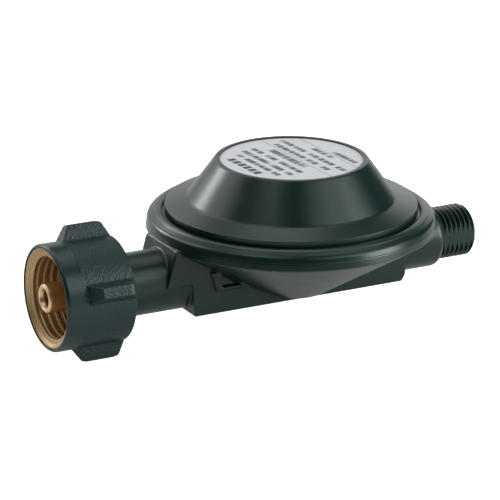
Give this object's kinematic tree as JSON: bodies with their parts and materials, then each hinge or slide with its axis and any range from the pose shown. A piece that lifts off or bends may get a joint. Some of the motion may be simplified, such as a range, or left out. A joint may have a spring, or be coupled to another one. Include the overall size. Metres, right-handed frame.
{
  "type": "low-pressure propane regulator",
  "caption": "Low-pressure propane regulator with a handwheel union nut and brass nipple at the inlet, a round diaphragm housing with a crimped cover, and a male threaded outlet.",
  "frame": {"origin": "centre of the inlet nipple's tip, on the inlet and outlet axis", "axes": "+X with the gas flow from the inlet nipple to the outlet thread, +Z along the diaphragm axis towards the cover, +Y completes a right-handed frame"},
  "size_m": [0.116, 0.071, 0.0417],
  "materials": {
    "housing_paint": "satin powder paint on die-cast zinc, dark green-grey",
    "label_plate": "matt printed plate, light grey",
    "handwheel_plastic": "fine-textured moulded plastic, dark green-grey",
    "brass": "turned",
    "nylon": "moulded, natural",
    "gasket_fibre": "pressed fibre",
    "steel_mesh": "woven mesh",
    "rubber": "moulded nitrile",
    "sheet_steel": "zinc-plated sheet",
    "spring_steel": "drawn wire"
  },
  "bodies": {
    "regulator": {"body_housing": "housing_paint", "cover": "housing_paint", "type_label": "label_plate", "inlet_stem": "brass", "stem_gasket": "gasket_fibre", "inlet_strainer": "steel_mesh", "orifice_nozzle": "brass", "nozzle_o_ring": "rubber", "valve_bracket": "sheet_steel", "lever_pin": "sheet_steel", "diaphragm": "rubber", "rim_washer": "sheet_steel", "main_spring": "spring_steel", "adjusting_screw": "brass"},
    "slip_ring": {"thrust_washer": "nylon"},
    "union_nut": {"handwheel": "handwheel_plastic", "nut_insert": "brass"},
    "relief_stem": {"diaphragm_stem": "brass", "relief_nut": "brass", "relief_spring": "spring_steel"},
    "plate": {"diaphragm_plate": "sheet_steel"},
    "lever": {"lever": "sheet_steel"},
    "valve": {"valve_carrier": "nylon", "valve_seal": "rubber"}
  },
  "joints": [
    {"name": "nut_slide", "type": "slide", "parent": "regulator", "child": "slip_ring", "axis": [1, 0, 0], "range_m": [0, 0.0077]},
    {"name": "nut_spin", "type": "hinge", "parent": "slip_ring", "child": "union_nut", "pos_m": [0.011, 0, 0], "axis": [1, 0, 0], "continuous": true},
    {"name": "diaphragm_stroke", "type": "slide", "parent": "regulator", "child": "relief_stem", "axis": [0, 0, 1], "range_m": [0, 0.0015], "stiffness_N_per_m": 800, "springref_m": -0.003, "deforming": ["main_spring", "diaphragm"]},
    {"name": "relief_lift", "type": "slide", "parent": "relief_stem", "child": "plate", "axis": [0, 0, 1], "range_m": [0, 0.0008], "stiffness_N_per_m": 1500, "springref_m": -0.0002, "deforming": ["relief_spring"]},
    {"name": "lever_tilt", "type": "hinge", "parent": "regulator", "child": "lever", "pos_m": [0.05535, 0, -0.0043], "axis": [0, 1, 0], "range_deg": [-8, 0]},
    {"name": "valve_slide", "type": "slide", "parent": "regulator", "child": "valve", "axis": [1, 0, 0], "range_m": [-0.0006, 0]}
  ],
  "couplings": [
    {"joint": "lever_tilt", "follows": "diaphragm_stroke", "rad_per_m": -90.498},
    {"joint": "valve_slide", "follows": "diaphragm_stroke", "ratio": -0.38914}
  ]
}
